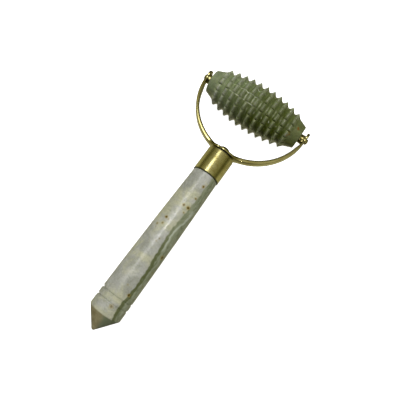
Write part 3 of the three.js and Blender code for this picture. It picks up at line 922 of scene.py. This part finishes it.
def roller_jade():
    """Sage jade: pale where the teeth stand proud and their flanks were left ground, deep olive
    down in the polished valleys, and darker towards one end and towards the handle's side, partly
    the stone's own tone and partly painted shade."""
    n = Nodes("roller_jade")
    place = n.tool_place()
    x, y, z = n.split(place)[:3]
    from_axle = n.minus(y, AXLE_Y)
    radius = n.hypot(from_axle, z)
    fall = ROLLER["valley_fall"] / LAST_VALLEY_X ** 2
    valley = n.minus(ROLLER["valley_radius"], n.times(n.math("POWER", x, 2.0), fall))
    height_up = n.minus(radius, valley)
    proud = n.between(height_up, -0.1, 1.5)
    on_end = n.between(n.absolute(x), LAST_RING_X + 1.0, LAST_RING_X + 2.2)

    cloud = n.noise(place, 11.0, detail=4, roughness=0.55, warp=0.6)
    mottle = n.noise(place, 2.6, detail=6, roughness=0.62, warp=0.8)
    grain = n.noise(place, 0.5, detail=4, roughness=0.75)
    # 0 at the pale end of the barrel to 1 at the dark one, and higher towards the handle's side:
    # partly the stone's own tone, partly painted shade where less of the key light falls.
    tone_and_shade = n.minus(n.along(x, DARKER_TONE_AND_SHADE), n.times(from_axle, 0.014))
    tone_and_shade = n.plus(tone_and_shade, n.times(n.minus(cloud, 0.5), 0.8))
    tone_and_shade = n.between(tone_and_shade, 0.0, 1.0, smooth=False)
    pale = n.blend(tone_and_shade, rgb(154, 161, 134), rgb(112, 120, 74))
    deep = n.blend(tone_and_shade, rgb(126, 138, 100), rgb(60, 69, 12))
    cone = n.blend(tone_and_shade, rgb(132, 142, 110), rgb(96, 103, 60))
    stone = n.blend(proud, deep, pale)
    stone = n.shade(stone, height_up, 0.15, 0.5, 1.2, 1.0)
    # The crest tops: partly the crests' pale stone, partly a painted sheen, greyer and paler for the
    # soft overhead light that they mirror.
    crown = n.blend(tone_and_shade, rgb(170, 172, 160), rgb(136, 142, 114))
    stone = n.blend(n.between(height_up, 1.25, 1.8), stone, crown)
    # Painted highlight: pale lines along the lit walls of some cuts.
    stone = n.blend(n.kerf_highlight(x, from_axle, z), stone, rgb(196, 202, 178))
    stone = n.blend(on_end, stone, cone)
    stone = n.shade(stone, mottle, 0.35, 0.65, 0.84, 1.12)
    stone = n.shade(stone, grain, 0.3, 0.7, 1.08, 0.86)
    ragged = n.noise(place, 1.0, detail=4)
    for specks, halo, heart in ((BLACK_SPECKS, rgb(40, 42, 10), rgb(16, 14, 2)),
                                (RUST_SPECKS, rgb(104, 84, 30), rgb(120, 66, 8))):
        stone = n.specks(stone, place, ragged, roller_spots(specks), halo, heart)

    pits = n.between(n.noise(place, 0.3, detail=2), 0.66, 0.74)
    height = n.minus(n.times(n.noise(place, 1.4, detail=4), 0.8), pits)
    gloss = n.between(proud, 0.0, 0.8, 0.06, 0.26)
    gloss = n.plus(gloss, n.between(n.noise(place, 2.5, detail=4), 0.3, 0.7, 0.0, 0.08))
    gloss = n.minus(gloss, n.between(height_up, 1.3, 1.8, 0.0, 0.12))
    normal = n.bump(height, 0.05, 0.6)
    n.shader.subsurface_method = "RANDOM_WALK"
    return n.finish(Base_Color=stone, Roughness=gloss, Normal=normal, IOR=1.66,
                    Specular_Tint=(1.0, 1.0, 0.85, 1.0), Subsurface_Weight=0.35,
                    Subsurface_Radius=(0.8, 1.0, 0.45), Subsurface_Scale=0.0012)


def brass(name, lay, dull=(0.17, 0.30)):
    """Olive-gold brass with drawing marks. lay says which way they run: along the bow's bend, along
    the tool's length, or round the axle or the tool's own axis. dull is the roughness of its clean
    and tarnished parts."""
    n = Nodes(name)
    place = n.tool_place()
    x, y, z = n.split(place)[:3]
    from_axle = n.minus(y, AXLE_Y)
    if lay == "bend":
        run = n.times(n.math("ARCTAN2", x, from_axle), BOW["radius"])
        marks = n.add("CombineXYZ", i0=run, i1=n.hypot(x, from_axle), i2=z)
        stretch = (9.0, 0.35, 0.35)
    elif lay == "length":
        marks = place
        stretch = (0.5, 7.0, 0.5)
    elif lay == "axle":
        marks = n.add("CombineXYZ", i0=x, i1=n.hypot(z, from_axle), i2=0.0)
        stretch = (0.4, 0.4, 1.0)
    else:
        marks = n.add("CombineXYZ", i0=n.hypot(x, z), i1=y, i2=0.0)
        stretch = (0.3, 0.3, 1.0)
    streak = n.noise(marks, 0.45, detail=5, roughness=0.7, stretch=stretch)
    fine = n.noise(marks, 0.16, detail=3, roughness=0.7, stretch=stretch)
    tarnish = n.noise(place, 4.0, detail=6, roughness=0.68, warp=1.2)
    spots = n.between(n.noise(place, 0.8, detail=3), 0.62, 0.74)
    metal = n.blend(n.between(tarnish, 0.35, 0.7), rgb(192, 186, 138), rgb(168, 157, 100))
    metal = n.blend(n.between(streak, 0.3, 0.75, 0, 0.45), metal, rgb(142, 131, 76))
    metal = n.blend(n.times(spots, 0.4), metal, rgb(96, 80, 26))
    gloss = n.between(tarnish, 0.3, 0.75, *dull)
    gloss = n.plus(gloss, n.between(streak, 0.35, 0.8, 0.0, dull[0] / 2))
    gloss = n.plus(gloss, n.times(spots, dull[0]))
    height = n.plus(n.times(streak, 0.8), n.times(fine, 0.4))
    normal = n.bump(height, 0.014, 0.7)
    return n.finish(Base_Color=metal, Metallic=1.0, Roughness=gloss, Normal=normal)


def glue():
    n = Nodes("adhesive")
    place = n.tool_place()
    lump = n.noise(place, 0.7, detail=4, roughness=0.6)
    colour = n.blend(n.between(lump, 0.35, 0.65), rgb(34, 38, 12), rgb(70, 74, 36))
    gloss = n.between(lump, 0.3, 0.7, 0.3, 0.55)
    return n.finish(Base_Color=colour, Roughness=gloss, Normal=n.bump(lump, 0.12, 0.8))


def fibre():
    n = Nodes("fibre")
    place = n.tool_place()
    weave = n.noise(place, 0.25, detail=4, roughness=0.7, stretch=(1, 0.5, 1))
    # Partly the fibre's own dark colour, partly painted shade: near black, for the shadow in the gap
    # under the bow's seat.
    colour = n.blend(weave, rgb(8, 7, 4), rgb(26, 23, 15))
    gloss = n.between(weave, 0.3, 0.7, 0.7, 0.9)
    return n.finish(Base_Color=colour, Roughness=gloss, Normal=n.bump(weave, 0.04, 0.7))


# ---- the pieces

def build_frame_pieces():
    stone, dark_glue, fibre_and_painted_shade = handle_jade(), glue(), fibre()
    drawn = brass("brass_bow", "bend", dull=(0.06, 0.14))
    spun = brass("brass_ferrule", "length")
    turned = brass("brass_turned", "axle")
    headed = brass("brass_screw", "round")
    piece("jade_handle", handle_shape(), "handle", "frame", stone, 50)
    piece("glue_line", adhesive_shape(), "adhesive_ring", "frame", dark_glue, 60)
    piece("brass_ferrule", ferrule_shape(), "ferrule", "frame", spun, 40)
    washer = washer_shape(SEAT_WASHER, SEAT_WASHER["bottom"], SEAT_WASHER["top"])
    piece("fibre_washer", washer, "seat_washer", "frame", fibre_and_painted_shade, 50)

    bow = piece("brass_bow", bow_shape(), "bow", "frame", drawn, 40)
    cut_away(bow, rod(BOW["screw_hole"], -2.0, 6.0))
    cut_away(bow, along_axle(rod(BOW["eye_hole"], -40.0, 40.0)))

    screw = piece("dome_screw", screw_shape(), "bow_screw", "frame", headed, 40)
    for blade in recess_shape():
        cut_away(screw, blade)

    piece("riveted_axle", axle_shape(), "axle", "frame", turned, 50)
    pin_washer = along_axle(washer_shape(PIN_WASHER, PIN_WASHER["inner_x"],
                                         PIN_WASHER["outer_x"], edge=0.12))
    piece("pin_washer_right", pin_washer, "washer_right", "frame", turned, 50)
    piece("pin_washer_left", mirrored(pin_washer), "washer_left", "frame", turned, 50)

    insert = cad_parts["handle_insert"]
    insert.data.materials.clear()
    insert.data.materials.append(headed)


def build_roller_pieces():
    stone = roller_jade()
    turned = brass("brass_bush", "axle")
    piece("toothed_roller", roller_shape(), "roller", "roller_barrel", stone, 60)
    bush = bush_shape()
    piece("flanged_bush_right", bush, "bush_right", "roller_barrel", turned, 50)
    piece("flanged_bush_left", mirrored(bush), "bush_left", "roller_barrel", turned, 50)


# ---- studio

CAMERA = {
    "place": (0.02156, -0.03887, 0.17020),
    "aim": (0.00350, 0.00578, 0.0),
    "roll": -36.375,  # degrees between the picture's upright and the tool's length
    "lens": 32.10,
}

# What polished surfaces mirror: (a direction's height, brightness, share of blue), and how much
# of it is left from the front, which is dark, to the back: (a direction's y, share).
MIRRORED = (
    (-1.0, 0.50, 0.6), (-0.3, 0.60, 0.6), (-0.12, 0.52, 0.56), (0.08, 0.16, 0.4),
    (0.26, 0.12, 0.32), (0.40, 0.21, 0.4), (0.60, 0.38, 0.52), (0.80, 0.46, 0.64),
    (0.95, 0.62, 0.75), (1.0, 0.65, 0.75),
)
FRONT_SHADE = ((-1.0, 0.08), (-0.7, 0.10), (-0.35, 0.6), (-0.05, 1.0), (0.34, 1.0),
               (0.42, 0.5), (1.0, 0.4))
RED_SHARE = 1.03
# The brightness that lights matt surfaces, against the direction's height.
MATT_LIGHT = ((-1.0, 0.15), (-0.2, 0.11), (0.1, 0.11), (1.0, 0.38))

# (name, place, aim, width, length, watts, the surfaces that it lights)
LIGHTS = (
    ("strip", (-0.138, 0.052, 0.50), (0, 0.02, 0), 0.12, 0.294, 0.54, "all"),
    ("glint", (-0.034, 0.03, 0.50), (0, 0.057, 0.01), 0.07, 0.07, 0.28, "polished"),
    ("key", (-0.22, 0.17, 0.80), (0, 0.02, 0), 0.5, 0.5, 3.4, "matt"),
    ("fill", (0.6, 0.1, 0.6), (0, 0, 0), 0.5, 0.5, 1.2, "matt"),
    ("front", (0.12, -0.36, 0.36), (0, 0.05, 0.02), 0.05, 0.05, 0.30, "polished"),
)


def make_camera():
    data = bpy.data.cameras.new("camera")
    data.sensor_width = 36.0
    data.lens = CAMERA["lens"]
    data.clip_start = 0.01
    camera = in_scene("camera", data)
    place, aim = Vector(CAMERA["place"]), Vector(CAMERA["aim"])
    back = (place - aim).normalized()
    up = (Vector((0, 1, 0)) - back * back.y).normalized()
    level = Matrix((up.cross(back), up, back)).transposed()
    rolled = level @ Matrix.Rotation(-math.radians(CAMERA["roll"]), 3, "Z")
    camera.matrix_world = Matrix.Translation(place) @ rolled.to_4x4()
    bpy.context.scene.camera = camera


def make_light(name, place, aim, width, length, watts, lights):
    """A rectangular light whose length runs along the tool's."""
    data = bpy.data.lights.new(name, "AREA")
    data.shape = "RECTANGLE"
    data.size, data.size_y = width, length
    data.energy = watts
    light = in_scene(name, data)
    back = (Vector(place) - Vector(aim)).normalized()
    along = (Vector((0, 1, 0)) - back * back.y).normalized()
    facing = Matrix((along.cross(back), along, back)).transposed()
    light.matrix_world = Matrix.Translation(place) @ facing.to_4x4()
    light.visible_diffuse = lights != "polished"
    light.visible_glossy = lights != "matt"


def make_floor():
    """A white ground that glows, and that neither lights the tool nor shows in its polish."""
    n = Nodes("pale_floor")
    n.finish(Base_Color=(0.85, 0.85, 0.85, 1), Roughness=0.9, Emission_Color=(1, 1, 1, 1),
             Emission_Strength=1.0)
    half, below_tool = 3.0, 0.0003
    mesh = bpy.data.meshes.new("floor")
    corners = [(-half, -half, 0), (half, -half, 0), (half, half, 0), (-half, half, 0)]
    mesh.from_pydata(corners, [], [(0, 1, 2, 3)])
    mesh.materials.append(n.material)
    floor = in_scene("floor", mesh)
    floor.location.z = -below_tool
    floor.visible_diffuse = False
    floor.visible_glossy = False


def make_world():
    """What polished surfaces mirror: a lit tent above, a dark band just above the horizon, and the
    pale table below. Matt surfaces get a plain soft light, and the camera sees white."""
    world = bpy.data.worlds.new("studio")
    world.use_nodes = True
    tree = world.node_tree

    def link(source, target):
        tree.links.new(source, target)

    def ramp(value, stops):
        """stops are (value from -1 to 1, colour)."""
        scaled = tree.nodes.new("ShaderNodeMapRange")
        scaled.inputs["From Min"].default_value = -1.0
        link(value, scaled.inputs["Value"])
        node = tree.nodes.new("ShaderNodeValToRGB")
        link(scaled.outputs[0], node.inputs["Fac"])
        elements = node.color_ramp.elements
        while len(elements) < len(stops):
            elements.new(0.5)
        for element, (position, colour) in zip(elements, stops):
            element.position = (position + 1) / 2
            element.color = (*colour, 1)
        return node.outputs["Color"]

    def choose(factor, without, with_it, blend="MIX"):
        node = tree.nodes.new("ShaderNodeMix")
        node.data_type = "RGBA"
        node.blend_type = blend
        for index, value in ((0, factor), (6, without), (7, with_it)):
            if isinstance(value, bpy.types.NodeSocket):
                link(value, node.inputs[index])
            else:
                node.inputs[index].default_value = value
        return node.outputs[2]

    place = tree.nodes.new("ShaderNodeTexCoord").outputs["Generated"]
    parts = tree.nodes.new("ShaderNodeSeparateXYZ")
    link(place, parts.inputs[0])
    tent = ramp(parts.outputs["Z"], [(z, (RED_SHARE * level, level, blue * level))
                                     for z, level, blue in MIRRORED])
    front = ramp(parts.outputs["Y"], [(y, (left, left, left)) for y, left in FRONT_SHADE])
    matt = ramp(parts.outputs["Z"], [(z, (level, level, level)) for z, level in MATT_LIGHT])
    mirrored_light = choose(1.0, tent, front, "MULTIPLY")
    ray = tree.nodes.new("ShaderNodeLightPath")
    seen = choose(ray.outputs["Is Diffuse Ray"], mirrored_light, matt)
    seen = choose(ray.outputs["Is Camera Ray"], seen, (1, 1, 1, 1))
    link(seen, tree.nodes["Background"].inputs["Color"])
    bpy.context.scene.world = world


def make_studio():
    make_camera()
    make_floor()
    make_world()
    for light in LIGHTS:
        make_light(*light)
    bpy.context.scene.view_settings.view_transform = "Standard"


build_frame_pieces()
build_roller_pieces()
make_studio()
